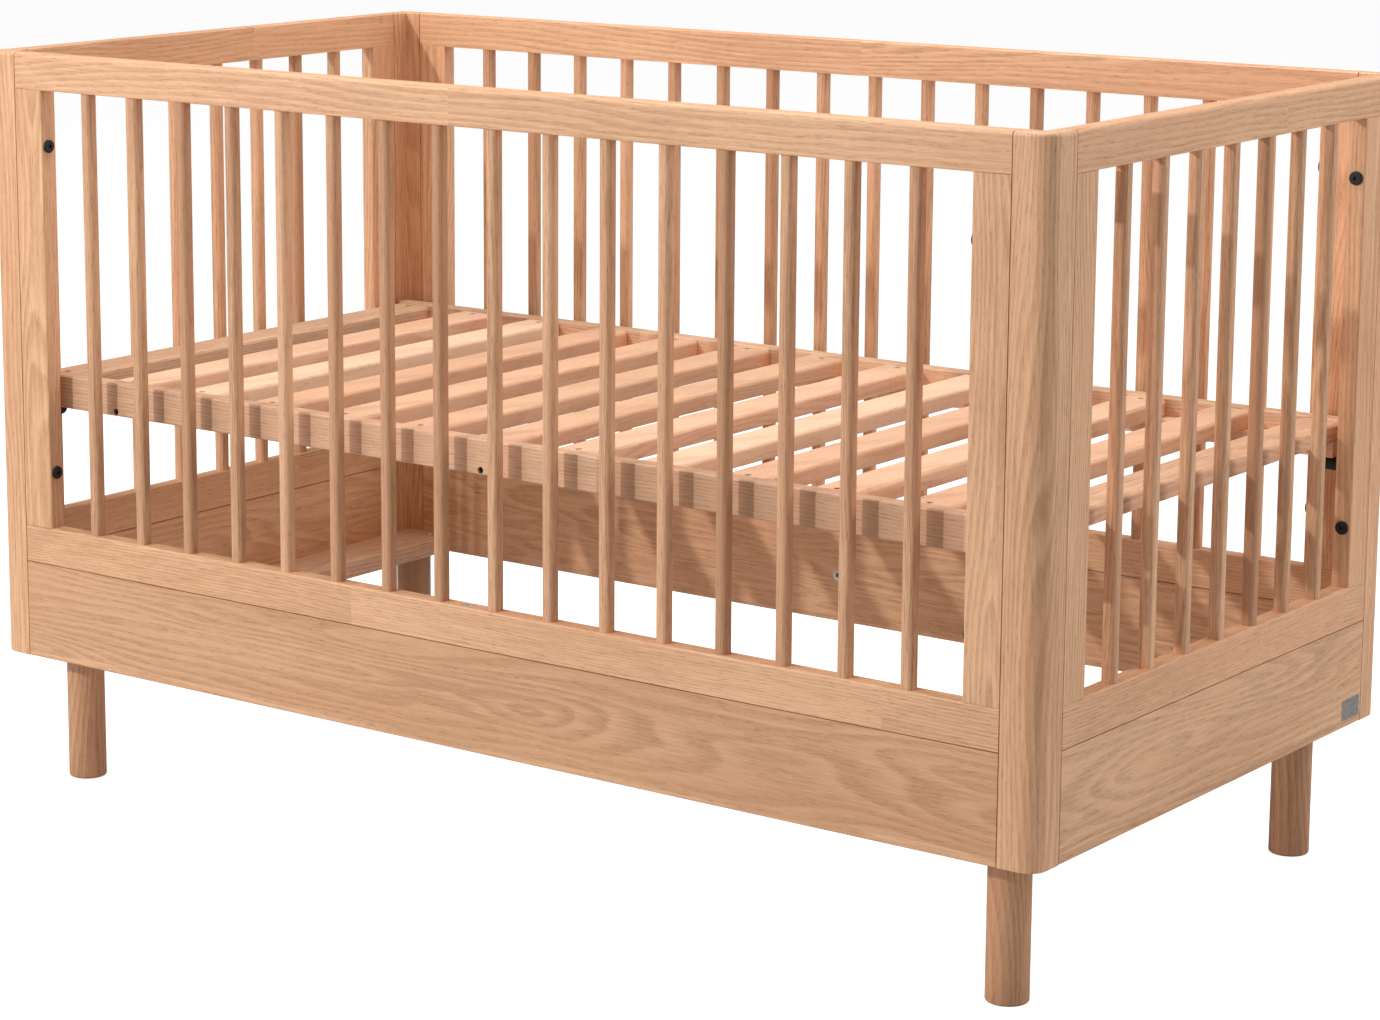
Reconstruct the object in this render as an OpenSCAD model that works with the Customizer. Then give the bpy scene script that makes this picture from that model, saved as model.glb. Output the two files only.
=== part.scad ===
// Oak cot bed: four L-shaped corner posts, four barred panels over solid aprons, round legs
// and a slatted base that rests on four pegs and lifts out through the open top.
// The origin is on the floor under the middle of the bed: +X runs along the long side to the
// right, the front panel faces -Y and +Z is up. All sizes are in millimetres.

/* [Overall] */
// Length over the two end panels
bed_length = 1460; // [1200:10:1760]
// Width over the two long panels
bed_width = 770; // [640:10:930]
// Height from the floor to the top of the rails
bed_height = 900; // [750:10:1080]
// Height of the underside of the aprons above the floor
body_clear = 163; // [130:1:200]
// Thickness of the posts' arms and of every board in a panel
board_t = 21; // [18:0.5:25]

/* [Corner posts] */
// Width of each of a post's two outer faces
post_face = 46; // [38:1:56]
// Rounding of the outer top edge of posts and top rails
top_round = 5; // [2:0.5:7]
// Bevel of the inner top edge of posts and top rails
top_break = 1.5; // [0.5:0.5:3]
// Width of the shadow groove where a panel meets a post
groove_w = 1.2; // [0.6:0.2:2]
// Depth of the shadow grooves
groove_d = 3; // [2:0.5:4]

/* [Panels] */
// Height of the top rails
top_rail_h = 43; // [36:1:52]
// Height of the lower rails
lower_rail_h = 46; // [38:1:56]
// Width of the stiles
stile_w = 43; // [36:1:52]
// Height of the aprons under the lower rails
apron_h = 118; // [98:1:142]
// Small rounding along the edges of rails, stiles and aprons
edge_round = 1.2; // [0.5:0.1:2.5]

/* [Bars] */
// Bars in each long panel
side_bars = 16; // [12:1:18]
// Bars in each end panel
end_bars = 7; // [5:1:8]
// Width and depth of a bar
bar_w = 15.5; // [13:0.5:18]
// Rounding of the four corners of a bar
bar_round = 6; // [3:0.5:6]
// Diameter of the round tenon on each end of a bar
tenon_d = 10; // [8:0.5:12]
// Length of a tenon
tenon_l = 12; // [10:1:16]

/* [Legs] */
// Diameter of a leg
leg_d = 46; // [38:1:56]
// Distance from the outer faces to the middle of a leg
leg_inset = 70; // [60:1:84]
// Rounding of the foot of a leg
foot_round = 3; // [1:0.5:5]
// Thickness of the boards that carry the legs
leg_board_t = 21; // [18:1:25]
// Thickness of the leg plates
plate_t = 3; // [2:0.5:4]
// Distance from the end of a leg plate to its bolt
plate_margin = 12; // [10:1:14]

/* [Slatted base] */
// Depth of the well from the top of the rails down to the top of the base
well_depth = 390; // [330:5:460]
// Gap between the base and the panels all round
base_gap = 11; // [6:1:16]
// Height of the base's side rails
base_rail_h = 40; // [36:1:48]
// Thickness of the base's side rails
base_rail_t = 20; // [16:1:24]
// Number of slats between the two end rails
slats_n = 11; // [9:1:13]
// Width of a slat and of an end rail
slat_w = 52; // [44:1:62]
// Thickness of a slat and of an end rail
slat_t = 20; // [15:0.5:22]
// How far the slats lie under the top of the side rails
slat_drop = 2; // [1:0.5:4]
// Rounding of the slats' top edges
slat_round = 5; // [3:0.5:7]
// Gap between a slat's end and the side rail
slat_end_gap = 1; // [0.5:0.5:2]
// Width of the ledgers that carry the slats
ledger_w = 24; // [20:1:30]

/* [Fastenings] */
// Diameter of the bolts' shanks
bolt_d = 6; // [5:0.5:7]
// Diameter of the black bolts' heads
bolt_head_d = 15.5; // [13:0.5:18]
// Thickness of a bolt head
bolt_head_t = 2.8; // [2:0.1:4]
// Height of the upper panel bolts below the top
bolt_drop = 110; // [92:1:132]
// Height of the lower panel bolts above the lower rails
bolt_rise = 68; // [57:1:82]
// Outer diameter of the threaded inserts
insert_d = 13; // [11:0.5:14]
// Length of the threaded inserts
insert_l = 13; // [10:1:14]
// Diameter of the wooden dowels
dowel_d = 8; // [6:0.5:9]
// Depth of a dowel in each piece
dowel_l = 18; // [15:1:22]
// Diameter of the support pegs
peg_d = 16; // [13:1:20]
// Reach of the support pegs out of the end panels
peg_reach = 27; // [24:1:34]
// Diameter of the wood screws
screw_d = 4; // [3:0.5:5]
// Radial clearance of every hole around what goes into it
hole_clear = 0.2; // [0.1:0.1:0.4]

/* [Hidden] */

$fn = 48;
oak = [0.83, 0.65, 0.50];
oak_light = [0.88, 0.71, 0.56];
oak_warm = [0.80, 0.61, 0.46];
beech = [0.91, 0.70, 0.55];
black_steel = [0.10, 0.10, 0.11];
zinc = [0.70, 0.71, 0.70];

// Sides of the bed, each as [length of the side, turn about Z, distance of its outer face].
FRONT = [bed_length, 0, bed_width / 2];
RIGHT = [bed_width, 90, bed_length / 2];
BACK = [bed_length, 180, bed_width / 2];
LEFT = [bed_width, 270, bed_length / 2];
LONG_SIDES = [FRONT, BACK];
END_SIDES = [RIGHT, LEFT];
ALL_SIDES = [FRONT, RIGHT, BACK, LEFT];

// Heights
z_apron_top = body_clear + apron_h;
z_lower_top = z_apron_top + lower_rail_h;
z_rail_under = bed_height - top_rail_h;
z_bolts = [z_lower_top + bolt_rise, bed_height - bolt_drop];
z_base_top = bed_height - well_depth;
z_base_under = z_base_top - base_rail_h;
z_slat_top = z_base_top - slat_drop;
z_slat_under = z_slat_top - slat_t;
ledger_h = z_slat_under - z_base_under;
z_ledger_screw = z_base_under + ledger_h * 0.3;
slat_screw_bite = ledger_h * 0.45;
z_peg = z_base_under - peg_d / 2;
z_low_setting = body_clear + apron_h / 2;
leg_h = body_clear + 2;
z_board_top = leg_h + leg_board_t;
z_board_mid = leg_h + leg_board_t / 2;

// Places along and across the panels
mid_t = board_t / 2;
mortise_l = tenon_l + 1;
tenon_hole_d = tenon_d + 2 * hole_clear;
bolt_hole_d = bolt_d + 2 * hole_clear;
socket_af = 5.2;
socket_deep = 2;
base_half_l = bed_length / 2 - board_t - base_gap;
base_half_w = bed_width / 2 - board_t - base_gap;
ledger_y = base_half_w - base_rail_t - ledger_w / 2;
slat_half_l = base_half_w - base_rail_t - slat_end_gap;
slat_pitch = (2 * base_half_l - slat_w) / (slats_n + 1);
slat_x = [for (i = [1 : slats_n]) -base_half_l + slat_w / 2 + i * slat_pitch];
board_x = concat([-base_half_l + slat_w / 2], slat_x, [base_half_l - slat_w / 2]);
ledger_screw_x = [-slat_x[slats_n - 1], 0, slat_x[slats_n - 1]];
leg_board_w = leg_inset + leg_d / 2 + 2 - board_t;
board_bolt_from_leg = 80;
board_bolt_y = bed_width / 2 - leg_inset - board_bolt_from_leg;
plate_gap = 3;
plate_w = leg_d - 10;
plate_half_l = leg_inset - board_t - plate_gap;
plate_bolt_reach = plate_half_l - plate_margin;
plate_round = 4;
plate_bolt_head_d = 2 * bolt_d;
stud_l = 45;
stud_d = 8;
screw_head_d = 7.6;
screw_head_t = 2.6;
screw_sunk = 3;
screw_socket_af = 3;
screw_socket_deep = 1;
dowel_spread = 10;
thread_mouth = 1;
pocket_tail = 1.5;
pocket_tail_d = bolt_d + 2;
rail_bolt_head_d = 14;
rail_bolt_short = 5;
board_bolt_short = 2;
peg_tip_round = 1.5;

// The blank plate let in flush near the back foot of the right apron
name_plate_w = 44;
name_plate_h = 24;
name_plate_t = 0.8;
name_plate_round = 2;
name_plate_from_post = 3;
name_plate_rise = 9;

// ---- Shapes that the pieces share ----

// A square corner's waste outside a quarter circle of radius r, with the corner at the origin.
module corner_waste(r) {
  difference() {
    translate([-1, -1]) square(r + 1);
    translate([r, r]) circle(r);
  }
}

// A board's end view, w wide and h high, with a radius for each corner in the order
// left bottom, right bottom, right top, left top.
module board_section(w, h, r) {
  difference() {
    square([w, h]);
    if (r[0] > 0) corner_waste(r[0]);
    if (r[1] > 0) translate([w, 0]) rotate(90) corner_waste(r[1]);
    if (r[2] > 0) translate([w, h]) rotate(180) corner_waste(r[2]);
    if (r[3] > 0) translate([0, h]) rotate(270) corner_waste(r[3]);
  }
}

// The end view of a top rail and of a post's arm: outer face at x = 0, rounded outer top edge
// and bevelled inner top edge.
module capped_section(h, r_foot) {
  difference() {
    board_section(board_t, h, [r_foot, 0, 0, top_round]);
    translate([board_t, h])
      polygon([[1, 1], [-top_break - 1, 1], [-top_break, 0], [0, -top_break], [1, -top_break - 1]]);
  }
}

// Lays an end view along X: its x becomes +Y, its y becomes +Z, centred on x = 0.
module along_x(len) {
  translate([-len / 2, 0, 0]) rotate([90, 0, 90]) linear_extrude(len) children();
}

// Puts what is drawn with its outer face on y = 0, inside towards +Y, onto one side of the bed.
module on_side(side) {
  rotate(side[1]) translate([0, -side[2], 0]) children();
}

// Length of a panel between the posts.
function panel_l(side) = side[0] - 2 * post_face;
// Middle of a stile, from the middle of its side.
function stile_x(side) = panel_l(side) / 2 - stile_w / 2;
// Middles of the bars of a side, n of them with equal gaps between the stiles.
function bar_x(side, n) = let (open = panel_l(side) - 2 * stile_w, gap = (open - n * bar_w) / (n + 1))
  [for (i = [0 : n - 1]) -open / 2 + gap + bar_w / 2 + i * (gap + bar_w)];
function bars_of(side) = side[0] == bed_length ? side_bars : end_bars;

// A round hole or rod along X, from the origin towards +X.
module rod_x(d, len) {
  rotate([0, 90, 0]) cylinder(d = d, h = len);
}

// ---- Fastenings ----

// A bolt pointing to -Z with its round head standing on z = 0 and a hexagon socket in it.
module bolt(len, head_d) {
  edge = bolt_head_t * 0.45;
  difference() {
    union() {
      rotate_extrude() difference() {
        square([head_d / 2, bolt_head_t]);
        translate([head_d / 2, bolt_head_t]) rotate(180) corner_waste(edge);
      }
      translate([0, 0, -len]) cylinder(d = bolt_d, h = len + 0.5);
    }
    translate([0, 0, bolt_head_t - socket_deep]) cylinder(d = socket_af, h = socket_deep + 1, $fn = 6);
  }
}

// A threaded insert let in along -Z with its mouth on z = 0.
module insert() {
  difference() {
    translate([0, 0, -insert_l]) cylinder(d = insert_d, h = insert_l);
    translate([0, 0, -insert_l - 1]) cylinder(d = bolt_d + hole_clear, h = insert_l + 2);
    translate([0, 0, -thread_mouth])
      cylinder(d1 = bolt_d + hole_clear, d2 = bolt_d + hole_clear + 2 * thread_mouth, h = thread_mouth);
  }
}

// The pocket for an insert, drilled a little deeper for the bolt's end.
module insert_pocket() {
  translate([0, 0, -insert_l]) cylinder(d = insert_d, h = insert_l + 1);
  translate([0, 0, -insert_l - pocket_tail]) cylinder(d = pocket_tail_d, h = pocket_tail + 1);
}

// A wood screw pointing to -Z with its flat head's top on z = 0.
module wood_screw(len) {
  difference() {
    union() {
      translate([0, 0, -screw_head_t]) cylinder(d = screw_head_d, h = screw_head_t);
      translate([0, 0, -len]) cylinder(d = screw_d, h = len);
    }
    translate([0, 0, -screw_socket_deep])
      cylinder(d = screw_socket_af, h = screw_socket_deep + 1, $fn = 6);
  }
}

// The hole for a wood screw whose head lies sunk below z = 0.
module screw_hole(len) {
  translate([0, 0, -screw_sunk - screw_head_t])
    cylinder(d = screw_head_d + 2 * hole_clear, h = screw_sunk + screw_head_t + 1);
  translate([0, 0, -len - 1]) cylinder(d = screw_d, h = len + 1);
}

// ---- Where the fastenings go, for pieces and holes alike ----

// Both bolts of each of a side's stiles, pointing from the opening into the post.
module at_panel_bolts(side) {
  on_side(side)
    for (end = [-1, 1], z = z_bolts)
      translate([end * (panel_l(side) / 2 - stile_w), mid_t, z]) rotate([0, -90 * end, 0]) children();
}

// The mouths of the inserts in the posts, which take the panel bolts.
module at_post_inserts(side) {
  on_side(side)
    for (end = [-1, 1], z = z_bolts)
      translate([end * panel_l(side) / 2, mid_t, z]) rotate([0, -90 * end, 0]) children();
}

// The support pegs, pointing into the end panels' stiles.
module at_pegs(z) {
  for (side = END_SIDES)
    on_side(side)
      for (end = [-1, 1])
        translate([end * ledger_y, board_t, z]) rotate([-90, 0, 0]) children();
}

// The bolts that hold the leg boards to the end aprons, at the board's inner edge or the apron.
module at_board_bolts(from_face) {
  for (side = END_SIDES)
    on_side(side)
      for (end = [-1, 1])
        translate([end * board_bolt_y, board_t + from_face, z_board_mid]) rotate([-90, 0, 0]) children();
}

// The middle of each long side, where a bolt ties the lower rail to the apron.
module at_rail_bolts(z) {
  for (side = LONG_SIDES)
    on_side(side) translate([0, mid_t, z]) children();
}

// The two dowels at each joint between a stile and a rail.
module at_stile_dowels(side, z) {
  on_side(side)
    for (end = [-1, 1], step = [-1, 1])
      translate([end * stile_x(side) + step * dowel_spread, mid_t, z]) children();
}

// The dowels between an apron's ends and the posts, lying along the apron.
module at_apron_dowels(side) {
  on_side(side)
    for (end = [-1, 1], z = [body_clear + apron_h / 4, body_clear + apron_h * 3 / 4])
      translate([end * panel_l(side) / 2, mid_t, z]) rotate([0, 90, 0]) children();
}

module dowel(spare) {
  translate([0, 0, -dowel_l - spare]) cylinder(d = dowel_d, h = 2 * (dowel_l + spare));
}

// The middles of the four legs.
module at_legs() {
  for (sx = [-1, 1], sy = [-1, 1])
    translate([sx * (bed_length / 2 - leg_inset), sy * (bed_width / 2 - leg_inset), 0]) children();
}

// The two bolts of each leg plate, one each side of the leg.
module at_plate_bolts(z) {
  for (sx = [-1, 1], sy = [-1, 1], step = [-1, 1])
    translate([
      sx * (bed_length / 2 - leg_inset), sy * (bed_width / 2 - leg_inset) + step * plate_bolt_reach, z
    ]) children();
}

// ---- Posts ----

// One post, its outer corner at the origin and its arms along +X and +Y.
module post_blank() {
  body_h = bed_height - body_clear;
  arm = post_face - board_t;
  translate([0, 0, body_clear]) {
    translate([board_t + arm / 2, 0, 0]) along_x(arm) capped_section(body_h, edge_round);
    mirror([1, -1, 0]) translate([board_t + arm / 2, 0, 0]) along_x(arm) capped_section(body_h, edge_round);
    translate([board_t, board_t, 0]) rotate(180) rotate_extrude(angle = 90)
      translate([board_t, 0]) mirror([1, 0]) capped_section(body_h, edge_round);
  }
}

// The shadow groove round the end of an arm, drawn for the arm along +X.
module arm_groove() {
  x = post_face - groove_w;
  tall = bed_height - body_clear + 2;
  for (y = [-1, board_t - groove_d])
    translate([x, y, body_clear - 1]) cube([groove_w + 1, groove_d + 1, tall]);
  for (z = [body_clear - 1, bed_height - groove_d])
    translate([x, -1, z]) cube([groove_w + 1, board_t + 2, groove_d + 1]);
}

module post(side) {
  next = [for (i = [0 : 3]) if (ALL_SIDES[i] == side) ALL_SIDES[(i + 3) % 4]][0];
  color(oak_warm) difference() {
    on_side(side) translate([-side[0] / 2, 0, 0]) difference() {
      post_blank();
      arm_groove();
      mirror([1, -1, 0]) arm_groove();
    }
    for (s = [side, next]) {
      at_post_inserts(s) insert_pocket();
      at_apron_dowels(s) dowel(hole_clear);
    }
  }
}

// ---- Panels ----

module top_rail(side) {
  color(oak) difference() {
    on_side(side) translate([0, 0, z_rail_under]) along_x(panel_l(side))
      capped_section(top_rail_h, edge_round);
    on_side(side) for (x = bar_x(side, bars_of(side)))
      translate([x, mid_t, z_rail_under - 1]) cylinder(d = tenon_hole_d, h = mortise_l + 1);
    at_stile_dowels(side, z_rail_under) dowel(hole_clear);
  }
}

// The lower rail stands on the apron on its middle part, with a shadow groove along each face.
module lower_rail(side) {
  r = edge_round;
  color(oak) difference() {
    on_side(side) translate([0, 0, z_apron_top]) along_x(panel_l(side)) difference() {
      board_section(board_t, lower_rail_h, [0, 0, r, 2 * r]);
      translate([-1, -1]) square([groove_d + 1, groove_w + 1]);
      translate([board_t - groove_d, -1]) square([groove_d + 1, groove_w + 1]);
    }
    on_side(side) for (x = bar_x(side, bars_of(side)))
      translate([x, mid_t, z_lower_top - mortise_l]) cylinder(d = tenon_hole_d, h = mortise_l + 1);
    at_stile_dowels(side, z_lower_top) dowel(hole_clear);
    at_rail_bolts(z_lower_top - bolt_head_t) {
      cylinder(d = rail_bolt_head_d + 2 * hole_clear, h = bolt_head_t + 1);
      translate([0, 0, -lower_rail_h]) cylinder(d = bolt_hole_d, h = lower_rail_h + 1);
    }
  }
}

// A stile at one end of a side: end is -1 or 1 along the side.
module stile(side, end) {
  r = edge_round;
  tall = z_rail_under - z_lower_top;
  color(oak_light) difference() {
    on_side(side) translate([end * stile_x(side) - stile_w / 2, 0, z_lower_top]) linear_extrude(tall)
      board_section(stile_w, board_t, end < 0 ? [0, 2 * r, r, 0] : [2 * r, 0, 0, r]);
    on_side(side) for (z = z_bolts)
      translate([end * stile_x(side) - stile_w / 2 - 1, mid_t, z]) rod_x(bolt_hole_d, stile_w + 2);
    at_stile_dowels(side, z_rail_under) dowel(hole_clear);
    at_stile_dowels(side, z_lower_top) dowel(hole_clear);
    at_pegs(z_peg) insert_pocket();
  }
}

module bars(side) {
  tall = z_rail_under - z_lower_top;
  r = [for (i = [0 : 3]) bar_round];
  color(oak) on_side(side) for (x = bar_x(side, bars_of(side)))
    translate([x, mid_t, z_lower_top]) {
      translate([-bar_w / 2, -bar_w / 2, 0]) linear_extrude(tall) board_section(bar_w, bar_w, r);
      translate([0, 0, -tenon_l]) cylinder(d = tenon_d, h = tall + 2 * tenon_l);
    }
}

module apron(side) {
  r = edge_round;
  color(oak_warm) difference() {
    on_side(side) translate([0, 0, body_clear]) along_x(panel_l(side))
      board_section(board_t, apron_h, [2 * r, 2 * r, 0, 0]);
    at_apron_dowels(side) dowel(hole_clear);
    at_rail_bolts(z_apron_top) insert_pocket();
    at_board_bolts(0) insert_pocket();
    at_pegs(z_low_setting) insert_pocket();
    at_low_side_inserts() insert_pocket();
    name_plate_blank();
  }
}

// The spare inserts in the middle of the long aprons for the base's low setting.
module at_low_side_inserts() {
  for (side = LONG_SIDES)
    on_side(side) translate([0, board_t, z_low_setting]) rotate([-90, 0, 0]) children();
}

// ---- Legs and their boards ----

module leg(sx, sy) {
  color(oak_warm) translate([
    sx * (bed_length / 2 - leg_inset), sy * (bed_width / 2 - leg_inset), 0
  ]) difference() {
    rotate_extrude() difference() {
      square([leg_d / 2, leg_h]);
      translate([leg_d / 2, 0]) rotate(90) corner_waste(foot_round);
    }
    translate([0, 0, leg_h - stud_l - 1]) cylinder(d = stud_d + 2 * hole_clear, h = stud_l + 2);
  }
}

// The board inside the foot of an end apron, which carries two legs.
module leg_board(side) {
  r = edge_round;
  color(oak_light) difference() {
    on_side(side) translate([0, board_t, leg_h]) along_x(side[0] - 2 * board_t)
      board_section(leg_board_w, leg_board_t, [0, r, r, 0]);
    at_legs() translate([0, 0, leg_h - 1]) leg_plate_blank(plate_t + 1, hole_clear);
    at_plate_bolts(0) cylinder(d = bolt_hole_d, h = z_board_top + 1);
    at_board_bolts(-1) cylinder(d = bolt_hole_d, h = leg_board_w + 2);
  }
}

// The outline of a leg plate, h high and wider by spare all round.
module leg_plate_blank(h, spare) {
  r = [for (i = [0 : 3]) plate_round];
  translate([-plate_w / 2 - spare, -plate_half_l - spare, 0]) linear_extrude(h)
    board_section(plate_w + 2 * spare, 2 * (plate_half_l + spare), r);
}

// The plates are let in flush with the underside of the leg boards.
module leg_plates() {
  color(zinc) difference() {
    at_legs() translate([0, 0, leg_h]) leg_plate_blank(plate_t, 0);
    at_plate_bolts(0) cylinder(d = bolt_d + hole_clear, h = z_board_top);
    at_legs() cylinder(d = stud_d, h = z_board_top);
  }
}

module leg_studs() {
  color(zinc) at_legs() translate([0, 0, leg_h - stud_l]) cylinder(d = stud_d, h = stud_l + plate_t);
}

module leg_plate_bolts() {
  color(zinc) at_plate_bolts(z_board_top) bolt(leg_board_t, plate_bolt_head_d);
}

module leg_board_bolts() {
  color(zinc) at_board_bolts(leg_board_w)
    bolt(leg_board_w + insert_l - board_bolt_short, bolt_head_d);
}

// ---- Panel hardware ----

module panel_bolts() {
  color(black_steel) for (side = ALL_SIDES)
    at_panel_bolts(side) bolt(stile_w + insert_l, bolt_head_d);
}

module rail_bolts() {
  color(zinc) at_rail_bolts(z_lower_top - bolt_head_t)
    bolt(lower_rail_h + insert_l - rail_bolt_short, rail_bolt_head_d);
}

module threaded_inserts() {
  color(zinc) {
    for (side = ALL_SIDES) at_post_inserts(side) insert();
    at_rail_bolts(z_apron_top) insert();
    at_board_bolts(0) insert();
    at_pegs(z_peg) insert();
    at_pegs(z_low_setting) insert();
    at_low_side_inserts() insert();
  }
}

module support_pegs() {
  color(black_steel) at_pegs(z_peg) {
    rotate_extrude() difference() {
      square([peg_d / 2, peg_reach]);
      translate([peg_d / 2, peg_reach]) rotate(180) corner_waste(peg_tip_round);
    }
    translate([0, 0, -insert_l + 1]) cylinder(d = bolt_d, h = insert_l);
  }
}

module panel_dowels() {
  color(beech) for (side = ALL_SIDES, z = [z_rail_under, z_lower_top])
    at_stile_dowels(side, z) dowel(0);
}

module apron_dowels() {
  color(beech) for (side = ALL_SIDES)
    at_apron_dowels(side) dowel(0);
}

module name_plate_blank() {
  r = [for (i = [0 : 3]) name_plate_round];
  on_side(RIGHT) translate([
    panel_l(RIGHT) / 2 - name_plate_w - name_plate_from_post, 0, body_clear + name_plate_rise
  ]) rotate([90, 0, 0]) translate([0, 0, -name_plate_t]) linear_extrude(name_plate_t)
    board_section(name_plate_w, name_plate_h, r);
}

module name_plate() {
  color(zinc) name_plate_blank();
}

// ---- Slatted base ----

// A side rail of the base: turn is 0 for the front one and 180 for the back one.
module base_side_rail(turn) {
  r = [for (i = [0 : 3]) 2 * edge_round];
  color(oak_light) rotate(turn) difference() {
    translate([0, -base_half_w, z_base_under]) along_x(2 * base_half_l)
      board_section(base_rail_t, base_rail_h, r);
    at_ledger_screws() screw_hole(base_rail_t + ledger_w);
  }
}

// The screws that hold a ledger to its side rail, heads outwards, for the front of the base.
module at_ledger_screws() {
  for (x = ledger_screw_x)
    translate([x, -base_half_w, z_ledger_screw]) rotate([90, 0, 0]) children();
}

module ledger_screws() {
  color(black_steel) for (turn = [0, 180]) rotate(turn)
    at_ledger_screws() translate([0, 0, -screw_sunk]) wood_screw(base_rail_t + ledger_w / 2 - screw_sunk);
}

module base_ledger(turn) {
  color(beech) rotate(turn) difference() {
    translate([-base_half_l, -ledger_y - ledger_w / 2, z_base_under])
      cube([2 * base_half_l, ledger_w, ledger_h]);
    at_ledger_screws() screw_hole(base_rail_t + ledger_w / 2);
    at_slat_screws() screw_hole(slat_t + slat_screw_bite);
  }
}

// One board across the base, at x.
module cross_board(x) {
  translate([x, 0, z_slat_under]) rotate(90) translate([0, -slat_w / 2, 0]) along_x(2 * slat_half_l)
    board_section(slat_w, slat_t, [edge_round, edge_round, slat_round, slat_round]);
}

// The screw at the front end of every cross board.
module at_slat_screws() {
  for (x = board_x)
    translate([x, -ledger_y, z_slat_top]) children();
}

module drilled_cross_board(x) {
  difference() {
    cross_board(x);
    for (turn = [0, 180]) rotate(turn) at_slat_screws() screw_hole(slat_t + slat_screw_bite);
  }
}

module base_end_rail(x) {
  color(oak_light) drilled_cross_board(x);
}

module slats() {
  color(beech) for (x = slat_x) drilled_cross_board(x);
}

module slat_screws() {
  color(black_steel) for (turn = [0, 180]) rotate(turn)
    at_slat_screws() translate([0, 0, -screw_sunk]) wood_screw(slat_t + slat_screw_bite - screw_sunk);
}

// ---- The assembly ----

post(FRONT);  // post_front_left
post(RIGHT);  // post_front_right
post(BACK);  // post_back_right
post(LEFT);  // post_back_left
top_rail(FRONT);  // front_top_rail
top_rail(BACK);  // back_top_rail
top_rail(LEFT);  // left_top_rail
top_rail(RIGHT);  // right_top_rail
lower_rail(FRONT);  // front_lower_rail
lower_rail(BACK);  // back_lower_rail
lower_rail(LEFT);  // left_lower_rail
lower_rail(RIGHT);  // right_lower_rail
stile(FRONT, -1);  // front_stile_left
stile(FRONT, 1);  // front_stile_right
stile(BACK, 1);  // back_stile_left
stile(BACK, -1);  // back_stile_right
stile(LEFT, 1);  // left_stile_front
stile(LEFT, -1);  // left_stile_back
stile(RIGHT, -1);  // right_stile_front
stile(RIGHT, 1);  // right_stile_back
bars(FRONT);  // front_bars
bars(BACK);  // back_bars
bars(LEFT);  // left_bars
bars(RIGHT);  // right_bars
apron(FRONT);  // front_apron
apron(BACK);  // back_apron
apron(LEFT);  // left_apron
apron(RIGHT);  // right_apron
leg_board(LEFT);  // leg_board_left
leg_board(RIGHT);  // leg_board_right
leg(-1, -1);  // leg_front_left
leg(1, -1);  // leg_front_right
leg(1, 1);  // leg_back_right
leg(-1, 1);  // leg_back_left
leg_plates();
leg_studs();
leg_plate_bolts();
panel_bolts();
threaded_inserts();
rail_bolts();
leg_board_bolts();
support_pegs();
panel_dowels();
apron_dowels();
name_plate();
base_side_rail(0);  // base_side_rail_front
base_side_rail(180);  // base_side_rail_back
base_end_rail(board_x[0]);  // base_end_rail_left
base_end_rail(board_x[slats_n + 1]);  // base_end_rail_right
base_ledger(0);  // base_ledger_front
base_ledger(180);  // base_ledger_back
slats();
slat_screws();
ledger_screws();
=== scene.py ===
# %% [markdown]
# # An oak cot bed
# The bed's boards, bars and fastenings come from a CAD model in metres, with +Z up and the front
# of the bed facing -Y. This lesson gives every piece its finish, sets a small pale studio round
# the bed, and places the camera. Nothing of the bed is moved or resized here.

# %% Load the bed
import math
import bpy
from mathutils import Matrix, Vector


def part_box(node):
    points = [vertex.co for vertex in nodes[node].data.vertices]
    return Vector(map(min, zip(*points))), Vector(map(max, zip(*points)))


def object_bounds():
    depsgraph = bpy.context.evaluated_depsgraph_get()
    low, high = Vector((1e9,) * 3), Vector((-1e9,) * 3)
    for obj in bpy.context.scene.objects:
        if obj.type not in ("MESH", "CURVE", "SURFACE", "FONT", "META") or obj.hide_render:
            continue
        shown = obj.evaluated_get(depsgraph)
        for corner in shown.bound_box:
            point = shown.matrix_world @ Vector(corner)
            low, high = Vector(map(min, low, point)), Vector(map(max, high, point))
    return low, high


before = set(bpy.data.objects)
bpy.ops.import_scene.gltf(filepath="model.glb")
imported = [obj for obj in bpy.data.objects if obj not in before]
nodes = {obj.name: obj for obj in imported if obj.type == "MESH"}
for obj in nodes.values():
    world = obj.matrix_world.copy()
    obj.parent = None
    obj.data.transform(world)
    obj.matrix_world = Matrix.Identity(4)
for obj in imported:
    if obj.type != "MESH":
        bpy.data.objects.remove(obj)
cad_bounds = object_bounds()
low, high = (Vector(corner) for corner in cad_bounds)
print(f"{len(nodes)} pieces, {high.x - low.x:.3f} x {high.y - low.y:.3f} x {high.z - low.z:.3f} m")

# %% [markdown]
# ## Shader maths as Python
# Wood is made of patterns added and multiplied together. A node tree for it has dozens of Math
# nodes, and it is hard to read. This small class wraps a socket, so that `a * 0.5 + b` adds those
# nodes by itself. Numbers that meet only numbers stay in Python.
# `node` adds any other node: its settings first, then the values or links of its sockets.

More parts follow.
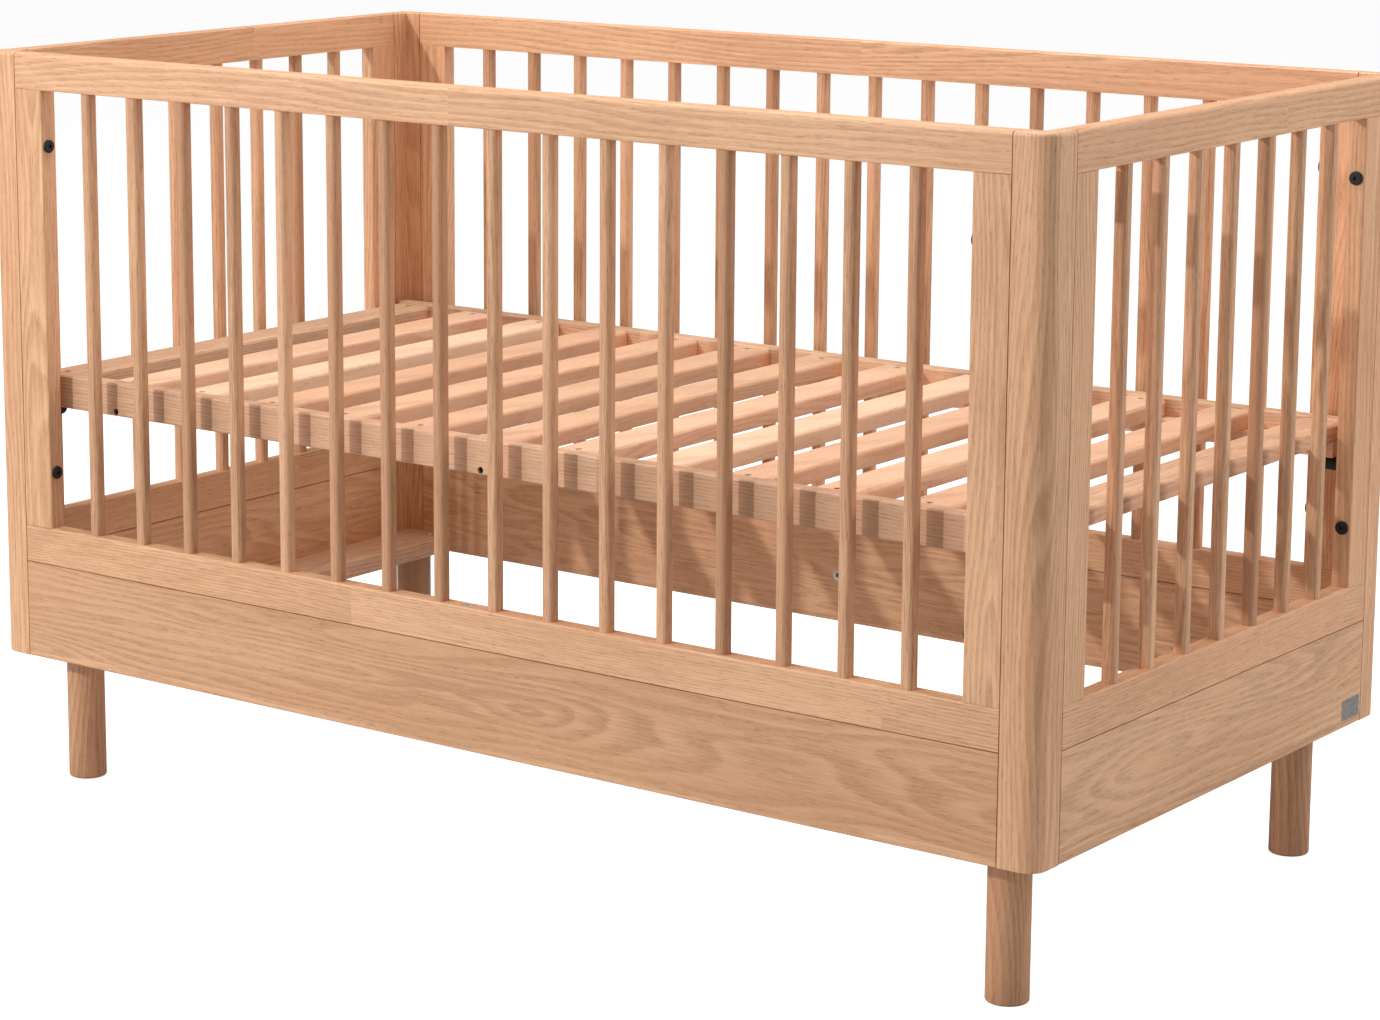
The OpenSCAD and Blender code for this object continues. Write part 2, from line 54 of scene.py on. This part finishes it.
# %% The socket class
class Socket:
    """A shader socket that can be used in Python expressions."""

    def __init__(self, tree, out):
        self.tree = tree
        self.out = out

    def math(self, operation, *values):
        return node(self.tree, "ShaderNodeMath", {"operation": operation}, dict(enumerate(values)))

    def __add__(self, other):
        return self.math("ADD", self, other)

    def __sub__(self, other):
        return self.math("SUBTRACT", self, other)

    def __rsub__(self, other):
        return self.math("SUBTRACT", other, self)

    def __mul__(self, other):
        return self.math("MULTIPLY", self, other)

    __radd__ = __add__
    __rmul__ = __mul__

    def power(self, other):
        return self.math("POWER", self, other)

    def floor(self):
        return self.math("FLOOR", self)

    def fraction(self):
        return self.math("FRACT", self)

    def over(self, limit):
        """1 where this socket is over a limit, and 0 elsewhere."""
        return self.math("GREATER_THAN", self, limit)

    def ramp(self, start, end, low_value=0.0, high_value=1.0):
        """Runs smoothly from low_value to high_value as this socket goes from start to end."""
        values = {"Value": self, "From Min": start, "From Max": end,
                  "To Min": low_value, "To Max": high_value}
        settings = {"interpolation_type": "SMOOTHSTEP"}
        return node(self.tree, "ShaderNodeMapRange", settings, values, "Result")


def feed(made, name, value):
    """Links a Socket to one input of a node, or sets that input to a number or a colour."""
    if isinstance(value, Socket):
        value.tree.links.new(value.out, made.inputs[name])
    else:
        made.inputs[name].default_value = value


def node(tree, kind, settings=None, values=None, output=0):
    """Adds one node, and returns one of its outputs as a Socket."""
    made = tree.nodes.new(kind)
    for name, value in (settings or {}).items():
        setattr(made, name, value)
    for name, value in (values or {}).items():
        feed(made, name, value)
    return Socket(tree, made.outputs[output])


print("the socket class is ready")

# %% [markdown]
# ## Colours, materials and bumps
# A Mix node holds sockets for numbers, vectors and colours side by side, so its colour sockets
# are found by their place in the list. A colour of our own is three numbers, and a node wants a
# fourth, which is always 1.

# %% Small helpers for materials
MIX_FACTOR, MIX_FIRST, MIX_SECOND, MIX_RESULT = 0, 6, 7, 2


def mix(tree, amount, first, second):
    """A colour that goes from first to second as amount goes from 0 to 1."""
    values = {MIX_FACTOR: amount}
    for place, colour in ((MIX_FIRST, first), (MIX_SECOND, second)):
        values[place] = colour if isinstance(colour, Socket) else (*colour, 1.0)
    return node(tree, "ShaderNodeMix", {"data_type": "RGBA"}, values, MIX_RESULT)


def scaled(colour, factors):
    """A colour with each of its three parts multiplied by a factor of its own."""
    return tuple(min(1.0, part * factor) for part, factor in zip(colour, factors))


def shaded(colour, factor):
    """A colour made lighter or darker by one factor."""
    return scaled(colour, (factor, factor, factor))


def new_material(name):
    """Returns an empty material, its node tree and its Principled shader."""
    material = bpy.data.materials.new(name)
    material.use_nodes = True
    tree = material.node_tree
    return material, tree, tree.nodes["Principled BSDF"]


def add_bump(tree, shader, height, strength, distance):
    values = {"Height": height, "Strength": strength, "Distance": distance}
    feed(shader, "Normal", node(tree, "ShaderNodeBump", None, values))


print("the helpers for materials are ready")

# %% [markdown]
# ## Where a point lies in its board
# The grain of a board runs along its length. So the wood needs a point's place as three numbers:
# `along` the grain, `wide` across the board's face, and `deep` into it, counted from the board's
# middle. The bed's boards lie square to its axes, and object coordinates are already the bed's own
# metres, so each board needs only the right order of axes and its middle, which its box gives.

# %% Board coordinates
LIES = {
    "long_upright": "XZY",
    "cross_upright": "YZX",
    "cross_flat": "YXZ",
    "standing": "ZXY",
    "standing_turned": "ZYX",
}


def coordinates(tree):
    """The three object coordinates of a point, in metres, under the keys X, Y and Z."""
    split = tree.nodes.new("ShaderNodeSeparateXYZ")
    feed(split, "Vector", node(tree, "ShaderNodeTexCoord", output="Object"))
    return {axis: Socket(tree, split.outputs[axis]) for axis in "XYZ"}


def board_place(tree, lie, middle=(0.0, 0.0, 0.0)):
    """A point's place along, wide and deep in a board, in metres from the board's middle."""
    point = coordinates(tree)
    return tuple(point[axis] - middle["XYZ".index(axis)] for axis in LIES[lie])


print("board coordinates are ready")

# %% [markdown]
# ## Patterns drawn out along the grain
# Nearly every pattern in wood is much longer than it is wide. `grain` is noise in a board, drawn
# out along it by a factor. `per_piece` gives each stave, bar or slat a steady number of its own.

# %% Noise and numbers for wood
def stretched(tree, place, stretch):
    """A vector for textures, drawn out along the grain by the factor stretch."""
    along, wide, deep = place
    values = {0: along * (1.0 / stretch), 1: wide, 2: deep}
    return node(tree, "ShaderNodeCombineXYZ", None, values)


def noise(tree, vector, scale, detail=2.0, rough=0.5):
    """Cloudy noise from about 0 to 1, with scale clouds in a metre."""
    values = {"Vector": vector, "Scale": scale, "Detail": detail, "Roughness": rough}
    return node(tree, "ShaderNodeTexNoise", None, values, "Fac")


def grain(tree, place, stretch, scale, detail=2.0, rough=0.5):
    return noise(tree, stretched(tree, place, stretch), scale, detail, rough)


def per_piece(tree, number, seed):
    """A steady random value from 0 to 1 for each whole number."""
    settings = {"noise_dimensions": "1D"}
    return node(tree, "ShaderNodeTexWhiteNoise", settings, {"W": number + seed}, "Value")


def stave_number(along, length):
    """A whole number for each stave along a board."""
    first_joint = 0.37
    return (along * (1.0 / length) + first_joint).floor()


def piece_number(tree, axis, distance, shift):
    """A whole number for each of the equal pieces that stand at this distance along an axis."""
    return (coordinates(tree)[axis] * (1.0 / distance) + shift).floor()


print("patterns along the grain are ready")

# %% [markdown]
# ## Growth rings
# Sawn boards show growth rings: near straight lines where the saw cut across the rings, and long
# pointed arches where it ran along them. Both come from one idea: a board is a slice of a trunk,
# so the rings are circles round the tree's heart, bent by slow noise. Where the heart lies close
# behind a board's middle the arches appear; far to one side, lines. Each ring darkens slowly
# through a year's growth and ends sharply.

# %% Growth rings
SLOW_STRETCH = 5.0
SWAY = 0.05                      # how far the heart strays sideways along a board, in metres
SWAY_NOISE = (7.0, 3.0)          # scale and detail
LIFT_APART = 3.0                 # metres along, so that lift and sway differ
LIFT_PATTERN = (8.0, 15.0, 1.0)  # stretch, scale and detail
UNEVEN = 0.6                     # how much ring widths differ, in rings
UNEVEN_NOISE = (3.0, 0.0)
RING_DARKEST = 0.78              # where in a ring it is darkest, from 0 to 1
RING_END = 0.80                  # where in a ring its sharp end starts


def growth_rings(tree, place, heart, ring, swing):
    """Bands from 0 to 1, a ring apart, round a heart at (wide, deep) from the board's middle.

    swing is how far the heart wanders nearer and farther along the board, which makes arches.
    """
    along, wide, deep = place
    slow = stretched(tree, place, SLOW_STRETCH)
    sway = (noise(tree, slow, *SWAY_NOISE) - 0.5) * SWAY
    lift = (grain(tree, (along + LIFT_APART, wide, deep), *LIFT_PATTERN) - 0.5) * swing
    across = wide - heart[0] + sway
    depth = deep - heart[1] + lift
    radius = (across * across + depth * depth).power(0.5)
    band = (radius * (1.0 / ring) + noise(tree, slow, *UNEVEN_NOISE) * UNEVEN).fraction()
    return band.ramp(0.0, RING_DARKEST) * band.ramp(1.0, RING_END)


print("growth rings are ready")

# %% [markdown]
# ## Oak
# Oak is pale and warm. On top of its rings lie finer layers: streaks of lighter and darker fibre,
# clouds of yellower and pinker wood, short dark pores, and a few pin knots with a darker halo. The
# lacquer is thin and satin, so the pores also show as a slight bump. Each layer has a stretch
# along the grain, a scale in patterns to the metre, and the detail and roughness of its noise.

# %% The layers of oak
STREAKS = (22.0, 330.0, 3.0, 0.6)
FIBRE = (30.0, 800.0, 2.0, 0.6)
CLOUDS = (5.0, 14.0, 3.0)
PINK_CLOUDS = (6.0, 11.0, 2.0)
PORES = (15.0, 1150.0, 1.0)
PINK_APART = 7.0                        # metres along, so that pink and yellow clouds differ
PINK_RANGE = (0.42, 0.66)
PORE_RANGE = (0.56, 0.68)
PORES_IN_RINGS = (0.1, 0.8, 0.4, 1.0)   # fewer pores where a ring is pale
KNOT_STRETCH, KNOT_SCALE = 2.0, 6.0
KNOT_EDGE, KNOT_HEART = 0.024, 0.008
HALO_EDGE, HALO_HEART = 0.075, 0.020

# How strongly each layer darkens the wood, and the darkness that they vary round.
STREAK_WEIGHT, FIBRE_WEIGHT, CLOUD_WEIGHT = 1.8, 1.4, 1.5
MEAN_RING, MEAN_DARKNESS = 0.4, 0.42
PINK_AMOUNT, HALO_AMOUNT, KNOT_AMOUNT = 0.35, 0.35, 0.7

# Each tint multiplies one of the wood's two tones.
PINKER = (1.24, 1.14, 1.18)
PALER_PIECE = (1.05, 1.07, 1.10)
DARKER_PIECE = (0.92, 0.88, 0.86)
PORE_TINT = (0.55, 0.47, 0.42)
HALO_TINT = (0.85, 0.78, 0.72)
KNOT_TINT = (0.38, 0.30, 0.26)


def knots(tree, place):
    """Two masks from 0 to 1: a pin knot's dark middle, and the halo round it."""
    values = {"Vector": stretched(tree, place, KNOT_STRETCH), "Scale": KNOT_SCALE}
    cells = node(tree, "ShaderNodeTexVoronoi", {"feature": "F1"}, values, "Distance")
    return cells.ramp(KNOT_EDGE, KNOT_HEART), cells.ramp(HALO_EDGE, HALO_HEART)


print("the layers of oak are ready")

# %% [markdown]
# ## Building a wood
# `cut` gives every stave, bar or slat of one node its own cut of the tree, by moving its pattern
# along and into the trunk. `wood` then lays the layers over each other, from the widest clouds to
# the smallest pores, and feeds the colour, the roughness and the bump of one lacquered material.

# %% The wood builder
SEED_STEP = 1.37     # metres along the trunk from one seed to the next
APART_ALONG = 4.0    # metres along the trunk between one cut and the next, at most
APART_DEEP = 0.05    # metres into the trunk
LACQUER_ROUGHNESS = 0.46
LACQUER = {"Specular IOR Level": 0.4, "Coat Weight": 0.05, "Coat Roughness": 0.35}
RELIEF = 0.0007      # the deepest bump, in metres


def cut(tree, lie, middle, seed, stave, row, lipping):
    """A point's place in its own cut of the tree, and that cut's tone from 0 to 1, or None."""
    along, wide, deep = board_place(tree, lie, middle)
    along = along + seed * SEED_STEP
    number = None
    if row is not None:
        number = piece_number(tree, *row)
        wide = wide + per_piece(tree, number, seed + 9.0) * APART_DEEP
    if stave is not None:
        number = stave_number(along, stave)
    if lipping is not None:
        number = wide.over(lipping)
    if number is None:
        return (along, wide, deep), None
    tone = per_piece(tree, number, seed)
    along = along + tone * APART_ALONG
    deep = deep + per_piece(tree, number, seed + 5.0) * APART_DEEP
    return (along, wide, deep), tone


def wood(name, lie, tones, seed, middle, heart=(0.07, 0.05), ring=0.0042, swing=0.08,
         figure=0.6, pores=0.42, contrast=0.5, stave=None, row=None, lipping=None):
    """A lacquered wood.

    tones are its light and its dark, and heart is where the tree's middle lies from the board's.
    ring is the width of a ring, and figure, pores and contrast are the strength of the rings, the
    pores and the difference between cuts. stave is the length of the staves that a board is glued
    from. row is (axis, distance, shift) where one node holds many equal pieces. lipping is the
    height from the board's middle under which a strip of another cut is glued on.
    """
    light, dark = tones
    material, tree, shader = new_material(name)
    place, tone = cut(tree, lie, middle, seed, stave, row, lipping)
    along, wide, deep = place
    rings = growth_rings(tree, place, heart, ring, swing)
    streaks = grain(tree, place, *STREAKS)
    fibre = grain(tree, place, *FIBRE)
    clouds = grain(tree, place, *CLOUDS)
    pink = grain(tree, (along + PINK_APART, wide, deep), *PINK_CLOUDS).ramp(*PINK_RANGE)
    pore = grain(tree, place, *PORES).ramp(*PORE_RANGE) * rings.ramp(*PORES_IN_RINGS)
    knot, halo = knots(tree, place)

    darkness = (rings - MEAN_RING) * figure + (streaks - 0.5) * STREAK_WEIGHT
    darkness = darkness + (fibre - 0.5) * FIBRE_WEIGHT + (clouds - 0.5) * CLOUD_WEIGHT
    base = mix(tree, darkness + MEAN_DARKNESS, light, dark)
    base = mix(tree, pink * PINK_AMOUNT, base, scaled(dark, PINKER))
    if tone is not None:
        paler = tone.ramp(0.5, 1.0, 0.0, contrast)
        darker = tone.ramp(0.5, 0.0, 0.0, contrast)
        base = mix(tree, paler, base, scaled(light, PALER_PIECE))
        base = mix(tree, darker, base, scaled(dark, DARKER_PIECE))
    base = mix(tree, pore * pores, base, scaled(dark, PORE_TINT))
    base = mix(tree, halo * HALO_AMOUNT, base, scaled(dark, HALO_TINT))
    base = mix(tree, knot * KNOT_AMOUNT, base, scaled(dark, KNOT_TINT))
    height = (streaks - 0.5) * 0.5 + (fibre - 0.5) * 0.3 - pore * 0.8 - knot * 0.6

    feed(shader, "Base Color", base)
    feed(shader, "Roughness", (streaks - 0.5) * 0.16 + pore * 0.2 + LACQUER_ROUGHNESS)
    add_bump(tree, shader, height, strength=0.3, distance=RELIEF)
    for socket_name, value in LACQUER.items():
        feed(shader, socket_name, value)
    return material


print("the wood builder is ready")

# %% [markdown]
# ## Metals
# Steel holds the bed together, in four finishes. Bolts and pegs are painted black and the small
# screws are browned: both are a thin satin skin with a fine grain and a little dust. Inserts,
# plates and hidden bolts are zinc plated, a pale grey with a faint cloudy sparkle. The small plate
# on the end is brushed, so its fine lines run across the bed.

# %% The metal builders
# The scale and detail of each pattern; the brushed lines also have a stretch, which comes first.
PAINT_GRAIN = (1800.0, 2.0)
DUST = (160.0, 3.0)
PLATE_CLOUDS = (240.0, 3.0)
PLATE_SPARKLE = (2400.0, 1.0)
BRUSHED_LINES = (60.0, 3200.0, 2.0)


def painted_steel(name, colour):
    """A painted steel of one colour, with paler dust on it."""
    material, tree, shader = new_material(name)
    place = node(tree, "ShaderNodeTexCoord", output="Object")
    fine = noise(tree, place, *PAINT_GRAIN)
    dust = noise(tree, place, *DUST)
    tone = mix(tree, dust.ramp(0.45, 0.8, 0.0, 0.35), colour, shaded(colour, 1.9))
    feed(shader, "Base Color", tone)
    feed(shader, "Roughness", fine * 0.18 + dust * 0.12 + 0.28)
    add_bump(tree, shader, fine, strength=0.12, distance=0.0002)
    feed(shader, "Metallic", 0.3)
    return material


def plated_steel(name, colour, metallic, brushed_lie=None):
    """A plated steel. Where brushed_lie is given, fine lines run along that lie."""
    material, tree, shader = new_material(name)
    place = node(tree, "ShaderNodeTexCoord", output="Object")
    clouds = noise(tree, place, *PLATE_CLOUDS)
    if brushed_lie is None:
        fine = noise(tree, place, *PLATE_SPARKLE)
    else:
        fine = grain(tree, board_place(tree, brushed_lie), *BRUSHED_LINES)
    tone = mix(tree, clouds.ramp(0.3, 0.7), colour, shaded(colour, 0.72))
    tone = mix(tree, fine.ramp(0.5, 0.8, 0.0, 0.4), tone, shaded(colour, 1.2))
    feed(shader, "Base Color", tone)
    feed(shader, "Roughness", clouds * 0.22 + fine * 0.12 + 0.2)
    add_bump(tree, shader, fine, strength=0.15, distance=0.0001)
    feed(shader, "Metallic", metallic)
    return material


print("the metal builders are ready")

# %% [markdown]
# ## Dressing the pieces
# Every piece has a grain direction and a tone. Rails and aprons run along their side of the bed,
# posts, stiles, bars and legs stand upright, and the base's boards run across or along it. Each
# board is cut from another part of the tree: a seed of its own moves its pattern.

# %% Tones of wood
OAK = ((0.87, 0.510, 0.295), (0.62, 0.330, 0.172))
OAK_APRON = ((0.82, 0.480, 0.275), (0.58, 0.310, 0.160))
OAK_LEG = ((0.70, 0.390, 0.215), (0.50, 0.255, 0.130))
# Painted shade: the back legs' darker tone stands for the shade under the bed, not a wood of their
# own.
OAK_BACK_LEG_PAINTED_SHADE = ((0.54, 0.285, 0.150), (0.38, 0.185, 0.092))
OAK_BASE = ((0.80, 0.510, 0.320), (0.57, 0.330, 0.198))
OAK_BAR = ((0.82, 0.475, 0.275), (0.50, 0.260, 0.136))
BEECH = ((0.96, 0.640, 0.430), (0.80, 0.465, 0.285))
seeds = iter(range(1, 200))
dressed = set()


def dress(name, material):
    piece = nodes[name]
    piece.data.materials.clear()
    piece.data.materials.append(material)
    dressed.add(name)


def dress_in_wood(name, lie, tones, **options):
    """Gives one piece a wood of its own, with its grain set out from the piece's middle."""
    corner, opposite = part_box(name)
    seed = float(next(seeds))
    dress(name, wood(f"wood_{name}", lie, tones, seed, (corner + opposite) / 2, **options))


print("seven tones of wood")

# %% [markdown]
# ## Panels, posts and legs
# The rails are glued from staves, which differ a little in tone. The aprons are wide boards cut
# near the heart, so they show arches, and their lowest strip is glued on from another cut. The
# back legs have a darker tone, which is painted shade: it stands for the shade under the bed.

# %% Dress the panels, posts and legs
LIPPING = 0.010    # the height of the strip glued under each apron, in metres
SIDES = {
    "front": "long_upright",
    "back": "long_upright",
    "left": "cross_upright",
    "right": "cross_upright",
}
for side, lie in SIDES.items():
    dress_in_wood(f"{side}_top_rail", lie, OAK, stave=0.83, heart=(0.035, 0.045), ring=0.0062,
                  contrast=0.2)
    dress_in_wood(f"{side}_lower_rail", lie, OAK, stave=0.71, heart=(0.09, 0.03), ring=0.0036,
                  figure=0.4, contrast=0.2)
    apron_low, apron_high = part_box(f"{side}_apron")
    glue_line = LIPPING - (apron_high.z - apron_low.z) / 2
    dress_in_wood(f"{side}_apron", lie, OAK_APRON, lipping=glue_line, heart=(0.004, 0.03),
                  ring=0.0105, figure=0.62, contrast=0.3, swing=0.24)
for corner in ("front_left", "front_right", "back_right", "back_left"):
    # Painted shade: the back legs take the darker tone in place of the shade that falls under the
    # bed.
    leg_tones_and_painted_shade = OAK_BACK_LEG_PAINTED_SHADE if corner.startswith("back") else OAK_LEG
    dress_in_wood(f"post_{corner}", "standing", OAK, heart=(0.05, 0.06), ring=0.0045)
    dress_in_wood(f"leg_{corner}", "standing", leg_tones_and_painted_shade, heart=(0.03, 0.02), ring=0.0045)
for name in sorted(nodes):
    if "_stile_" in name:
        lie = "standing" if name.startswith(("front", "back")) else "standing_turned"
        dress_in_wood(name, lie, OAK, heart=(0.03, 0.04), ring=0.0048)
print(f"panels, posts and legs: {len(dressed)} pieces")

# %% [markdown]
# ## Bars, slats and the base
# One node holds all the bars of a panel, and one holds all the slats. The distance between them
# comes from the node's box and their number, and tells the wood where one bar or slat ends and
# the next begins. The slats and ledgers are of a pinker wood than the rest.

# %% Dress the bars
BARS = {"front": ("X", 16), "back": ("X", 16), "left": ("Y", 7), "right": ("Y", 7)}
for side, (axis, count) in BARS.items():
    first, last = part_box(f"{side}_bars")
    bar_width = min(last.x - first.x, last.y - first.y)
    run = last["XYZ".index(axis)] - first["XYZ".index(axis)] - bar_width
    distance = run / (count - 1)
    shift = 0.0 if count % 2 == 0 else 0.5
    dress_in_wood(f"{side}_bars", "standing", OAK_BAR, row=(axis, distance, shift),
                  heart=(0.05, 0.05), ring=0.0034, figure=0.4, contrast=0.75, swing=0.04)
    print(f"{side}: {count} bars, {distance * 1000:.1f} mm apart")

# %% Dress the base, the leg boards and the dowels
SLATS = 11
for name in ("base_side_rail_front", "base_side_rail_back"):
    dress_in_wood(name, "long_upright", OAK_BASE, stave=0.46, heart=(0.08, 0.03), ring=0.0038)
for name in ("base_end_rail_left", "base_end_rail_right", "leg_board_left", "leg_board_right"):
    dress_in_wood(name, "cross_flat", OAK_BASE, heart=(0.02, 0.03))
for name in ("base_ledger_front", "base_ledger_back"):
    dress_in_wood(name, "long_upright", BEECH, figure=0.4, pores=0.2)

slats_low, slats_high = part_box("slats")
end_low, end_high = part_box("base_end_rail_left")
slat_width = end_high.x - end_low.x
slat_step = (slats_high.x - slats_low.x - slat_width) / (SLATS - 1)
dress_in_wood("slats", "cross_flat", BEECH, row=("X", slat_step, 0.5), figure=0.8, pores=0.35,
              contrast=0.75)
for name in ("panel_dowels", "apron_dowels"):
    dress_in_wood(name, "standing", BEECH, figure=0.2, pores=0.1)
print(f"{SLATS} slats {slat_width * 1000:.0f} mm wide, {slat_step * 1000:.0f} mm apart")

# %% [markdown]
# ## Fastenings
# The bolts and pegs that a hand can reach are black. What lies inside the joints is zinc plated.

# %% Dress the bolts, pegs, inserts and plates
FASTENINGS = (
    (painted_steel("black_steel", (0.012, 0.012, 0.013)), ("panel_bolts", "support_pegs")),
    (painted_steel("browned_steel", (0.010, 0.008, 0.007)), ("slat_screws", "ledger_screws")),
    (plated_steel("zinc_plate", (0.78, 0.77, 0.73), 0.55),
     ("threaded_inserts", "leg_plates", "leg_studs", "leg_plate_bolts", "leg_board_bolts",
      "rail_bolts")),
    (plated_steel("brushed_steel", (0.34, 0.335, 0.32), 0.8, "cross_upright"), ("name_plate",)),
)
for material, names in FASTENINGS:
    for name in names:
        dress(name, material)
print("pieces without a finish:", sorted(set(nodes) - dressed))

# %% [markdown]
# ## A pale studio
# The bed stands on a pale floor that runs to the horizon under an even sky, so nothing competes
# with the wood. Floor and sky look white to the camera, but throw less light than that on the
# bed: Light Path's "Is Camera Ray" tells the two uses apart.

# %% Floor
FLOOR_REACH = 60.0
FLOOR_GREY = 0.52    # what the floor throws back
FLOOR_GLOW = 0.83    # what it adds where the camera sees it
BLACK, WHITE = (0.0, 0.0, 0.0), (1.0, 1.0, 1.0)

floor_mesh = bpy.data.meshes.new("floor")
floor_corners = [(-FLOOR_REACH, -FLOOR_REACH, 0), (FLOOR_REACH, -FLOOR_REACH, 0),
                 (FLOOR_REACH, FLOOR_REACH, 0), (-FLOOR_REACH, FLOOR_REACH, 0)]
floor_mesh.from_pydata(floor_corners, [], [(0, 1, 2, 3)])
floor = bpy.data.objects.new("floor", floor_mesh)
bpy.context.scene.collection.objects.link(floor)

floor_material, floor_tree, floor_shader = new_material("pale_floor")
seen = node(floor_tree, "ShaderNodeLightPath", output="Is Camera Ray")
feed(floor_shader, "Base Color", (FLOOR_GREY, FLOOR_GREY, FLOOR_GREY, 1.0))
feed(floor_shader, "Roughness", 0.9)
feed(floor_shader, "Specular IOR Level", 0.1)
feed(floor_shader, "Emission Color", mix(floor_tree, seen, BLACK, WHITE))
feed(floor_shader, "Emission Strength", FLOOR_GLOW)
floor_mesh.materials.append(floor_material)
print(f"a floor {2 * FLOOR_REACH:.0f} m across")

# %% Sky
SKY_LIGHT, SKY_SEEN = 0.25, 1.0

sky = bpy.data.worlds.new("pale_sky")
sky.use_nodes = True
sky_tree = sky.node_tree
seen = node(sky_tree, "ShaderNodeLightPath", output="Is Camera Ray")
light_sky, seen_sky = (
    node(sky_tree, "ShaderNodeBackground", None, {"Color": (*WHITE, 1.0), "Strength": strength})
    for strength in (SKY_LIGHT, SKY_SEEN)
)
both = node(sky_tree, "ShaderNodeMixShader", None, {0: seen, 1: light_sky, 2: seen_sky})
feed(sky_tree.nodes["World Output"], "Surface", both)
sky_tree.nodes.remove(sky_tree.nodes["Background"])
bpy.context.scene.world = sky
bpy.context.scene.view_settings.view_transform = "Standard"
print(f"a sky of strength {SKY_LIGHT}, seen as {SKY_SEEN}")

# %% [markdown]
# ## Lamps
# Three large soft lamps fill the room: one at the front left, one behind the right end and one
# above. The round corner between front and end faces neither side lamp, so it falls into a
# darker tone. A fourth, small lamp is the key: it stands at the front, a little left and above
# the rails, and draws the bars' shadows on the base and on the inside of the back apron.

# %% Set the lamps
BED_MIDDLE = Vector((0.0, 0.0, 0.45))
# Each lamp's direction from the bed's middle, distance and width in metres, and power in watts.
LAMPS = {
    "key": ((-0.43, -1.0, 0.47), 4.6, 0.08, 76.0),
    "front_left": ((-0.84, -1.0, 0.42), 4.2, 2.4, 46.0),
    "right_end": ((1.0, 0.58, 0.38), 4.2, 2.4, 67.0),
    "above": ((0.0, 0.0, 1.0), 3.4, 2.4, 108.0),
}
for name, (towards, distance, width, power) in LAMPS.items():
    data = bpy.data.lights.new(name, "AREA")
    data.size = width
    data.energy = power
    lamp = bpy.data.objects.new(name, data)
    lamp.location = BED_MIDDLE + Vector(towards).normalized() * distance
    lamp.rotation_euler = Vector(towards).to_track_quat("Z", "Y").to_euler()
    bpy.context.scene.collection.objects.link(lamp)
    print(f"{name}: {width} m across, {power} W, {distance} m away")

# %% [markdown]
# ## The camera
# The camera stands off the bed's front right corner, a little above the rails, with a long lens
# so that the bars stay nearly upright. Its frame is shifted slightly to centre the bed.

# %% Place the camera
VIEW_TURN = math.radians(37.91)
VIEW_RISE = math.radians(10.57)
VIEW_DISTANCE = 4.367
LOOK_AT = Vector((-0.175, 0.0, 0.4825))

direction = Vector((
    math.sin(VIEW_TURN) * math.cos(VIEW_RISE),
    -math.cos(VIEW_TURN) * math.cos(VIEW_RISE),
    math.sin(VIEW_RISE),
))
camera_data = bpy.data.cameras.new("camera")
camera_data.sensor_width = 36.0
camera_data.lens = 94.55
camera_data.shift_x = 0.1
camera_data.shift_y = -0.08
camera = bpy.data.objects.new("camera", camera_data)
camera.location = LOOK_AT + direction * VIEW_DISTANCE
camera.rotation_euler = direction.to_track_quat("Z", "Y").to_euler()
bpy.context.scene.collection.objects.link(camera)
bpy.context.scene.camera = camera
print("camera at", tuple(round(value, 3) for value in camera.location))
